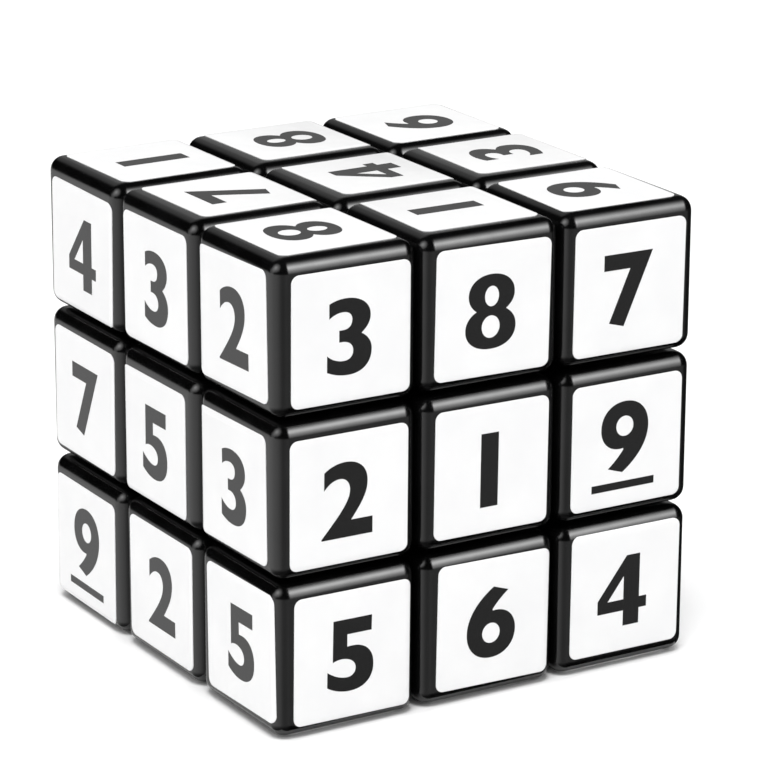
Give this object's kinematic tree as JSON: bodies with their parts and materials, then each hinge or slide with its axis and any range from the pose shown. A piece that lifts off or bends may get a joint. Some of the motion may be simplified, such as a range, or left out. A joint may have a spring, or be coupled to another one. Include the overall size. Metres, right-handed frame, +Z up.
{
  "type": "sudoku cube",
  "caption": "Cube-shaped number puzzle of black cubies with white number stickers; its layers turn on a spring-loaded core hidden inside.",
  "frame": {"origin": "middle of the bottom face, on the surface that the cube stands on", "axes": "+Z up along the turning axis of the top and bottom layers, -Y towards the front face"},
  "size_m": [0.057, 0.057, 0.057],
  "materials": {
    "black_plastic": "glossy moulded ABS",
    "core_plastic": "satin moulded nylon",
    "plated_steel": "zinc plated",
    "spring_steel": "drawn wire",
    "sticker_white": "semi-gloss vinyl",
    "digit_ink": "printed black ink"
  },
  "bodies": {
    "core": {"core_spider": "core_plastic", "screw_top": "plated_steel", "screw_bottom": "plated_steel", "screw_front": "plated_steel", "screw_back": "plated_steel", "screw_left": "plated_steel", "screw_right": "plated_steel", "spring_top": "spring_steel", "spring_bottom": "spring_steel", "spring_front": "spring_steel", "spring_back": "spring_steel", "spring_left": "spring_steel", "spring_right": "spring_steel", "edge_front_left": "black_plastic", "edge_front_right": "black_plastic", "edge_back_left": "black_plastic", "edge_back_right": "black_plastic"},
    "top_washer": {"washer_top": "plated_steel"},
    "top_layer": {"centre_top": "black_plastic", "cap_top": "black_plastic", "edge_top_front": "black_plastic", "edge_top_back": "black_plastic", "edge_top_left": "black_plastic", "edge_top_right": "black_plastic", "corner_top_front_left": "black_plastic", "corner_top_front_right": "black_plastic", "corner_top_back_left": "black_plastic", "corner_top_back_right": "black_plastic", "foot_top_front_left": "black_plastic", "foot_top_front_right": "black_plastic", "foot_top_back_left": "black_plastic", "foot_top_back_right": "black_plastic"},
    "bottom_washer": {"washer_bottom": "plated_steel"},
    "bottom_layer": {"centre_bottom": "black_plastic", "cap_bottom": "black_plastic", "edge_bottom_front": "black_plastic", "edge_bottom_back": "black_plastic", "edge_bottom_left": "black_plastic", "edge_bottom_right": "black_plastic", "corner_bottom_front_left": "black_plastic", "corner_bottom_front_right": "black_plastic", "corner_bottom_back_left": "black_plastic", "corner_bottom_back_right": "black_plastic", "foot_bottom_front_left": "black_plastic", "foot_bottom_front_right": "black_plastic", "foot_bottom_back_left": "black_plastic", "foot_bottom_back_right": "black_plastic"},
    "front_centre": {"washer_front": "plated_steel", "centre_front": "black_plastic", "cap_front": "black_plastic"},
    "back_centre": {"washer_back": "plated_steel", "centre_back": "black_plastic", "cap_back": "black_plastic"},
    "left_centre": {"washer_left": "plated_steel", "centre_left": "black_plastic", "cap_left": "black_plastic"},
    "right_centre": {"washer_right": "plated_steel", "centre_right": "black_plastic", "cap_right": "black_plastic"}
  },
  "joints": [
    {"name": "top_lift", "type": "slide", "parent": "core", "child": "top_washer", "axis": [0, 0, 1], "range_m": [0, 0.0004], "stiffness_N_per_m": 900, "springref_m": -0.003, "deforming": ["spring_top"]},
    {"name": "top_layer_turn", "type": "hinge", "parent": "top_washer", "child": "top_layer", "pos_m": [0, 0, 0.0285], "axis": [0, 0, 1], "continuous": true},
    {"name": "bottom_lift", "type": "slide", "parent": "core", "child": "bottom_washer", "axis": [0, 0, -1], "range_m": [0, 0.0004], "stiffness_N_per_m": 900, "springref_m": -0.003, "deforming": ["spring_bottom"]},
    {"name": "bottom_layer_turn", "type": "hinge", "parent": "bottom_washer", "child": "bottom_layer", "pos_m": [0, 0, 0.0285], "axis": [0, 0, -1], "continuous": true},
    {"name": "front_lift", "type": "slide", "parent": "core", "child": "front_centre", "axis": [0, -1, 0], "range_m": [0, 0.0004], "stiffness_N_per_m": 900, "springref_m": -0.003, "deforming": ["spring_front"]},
    {"name": "back_lift", "type": "slide", "parent": "core", "child": "back_centre", "axis": [0, 1, 0], "range_m": [0, 0.0004], "stiffness_N_per_m": 900, "springref_m": -0.003, "deforming": ["spring_back"]},
    {"name": "left_lift", "type": "slide", "parent": "core", "child": "left_centre", "axis": [-1, 0, 0], "range_m": [0, 0.0004], "stiffness_N_per_m": 900, "springref_m": -0.003, "deforming": ["spring_left"]},
    {"name": "right_lift", "type": "slide", "parent": "core", "child": "right_centre", "axis": [1, 0, 0], "range_m": [0, 0.0004], "stiffness_N_per_m": 900, "springref_m": -0.003, "deforming": ["spring_right"]}
  ]
}
